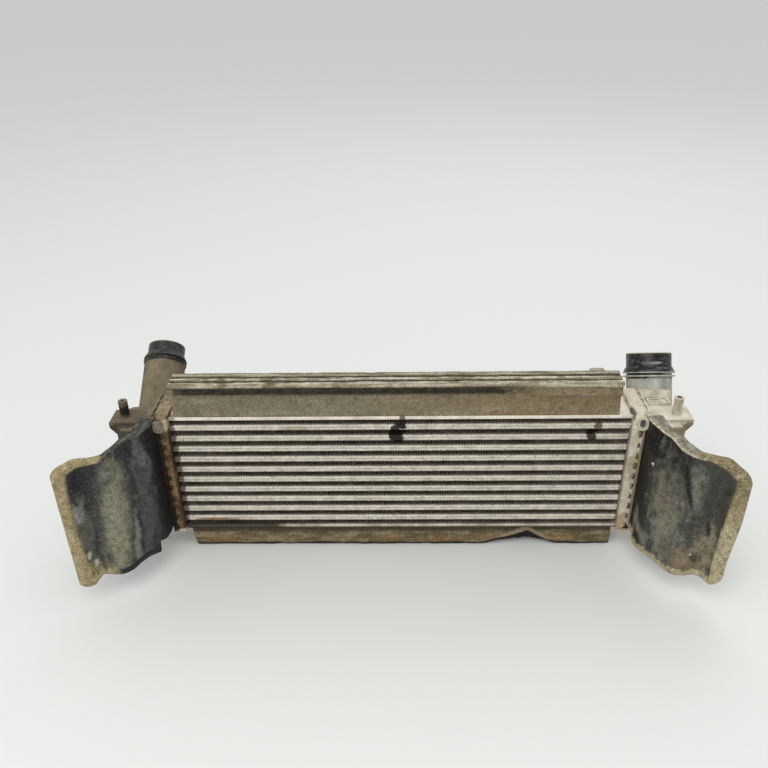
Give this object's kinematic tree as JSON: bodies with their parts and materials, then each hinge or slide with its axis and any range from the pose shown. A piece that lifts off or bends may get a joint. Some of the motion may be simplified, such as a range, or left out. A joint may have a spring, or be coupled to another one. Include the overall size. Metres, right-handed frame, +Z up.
{
  "type": "intercooler",
  "caption": "Car charge-air cooler: flat core of tubes and corrugated fins, crimped plastic end tanks with rear hose spigots, foam seals and curved air guides.",
  "frame": {"origin": "middle of the core's width and depth, on the plane that the bottom seal stands on", "axes": "+X across the core towards the tank with the steeper spigot, on the right as seen from the front, +Y from the front face to the back, +Z up"},
  "size_m": [0.743, 0.2817, 0.2492],
  "materials": {
    "fin": "brazed sheet, dusty",
    "tube": "extruded, dusty",
    "side_plate": "rolled sheet, dusty",
    "header": "pressed sheet, stained by rust dust",
    "gasket": "matt black",
    "tank": "moulded glass-filled nylon, dusty",
    "air_guide": "moulded, scuffed and dusty",
    "rivet": "moulded, dusty",
    "foam": "soft foam, soiled"
  },
  "bodies": {
    "root": {"fin_01": "fin", "fin_02": "fin", "fin_03": "fin", "fin_04": "fin", "fin_05": "fin", "fin_06": "fin", "fin_07": "fin", "fin_08": "fin", "fin_09": "fin", "fin_10": "fin", "fin_11": "fin", "tube_01": "tube", "tube_02": "tube", "tube_03": "tube", "tube_04": "tube", "tube_05": "tube", "tube_06": "tube", "tube_07": "tube", "tube_08": "tube", "tube_09": "tube", "tube_10": "tube", "bottom_side_plate": "side_plate", "top_side_plate": "side_plate", "bottom_seal": "foam", "top_seal": "foam", "right_header": "header", "right_gasket": "gasket", "right_air_guide": "air_guide", "right_guide_rivet": "rivet", "right_tank": "tank", "left_header": "header", "left_gasket": "gasket", "left_air_guide": "air_guide", "left_guide_rivet": "rivet", "left_tank": "tank"}
  },
  "joints": []
}
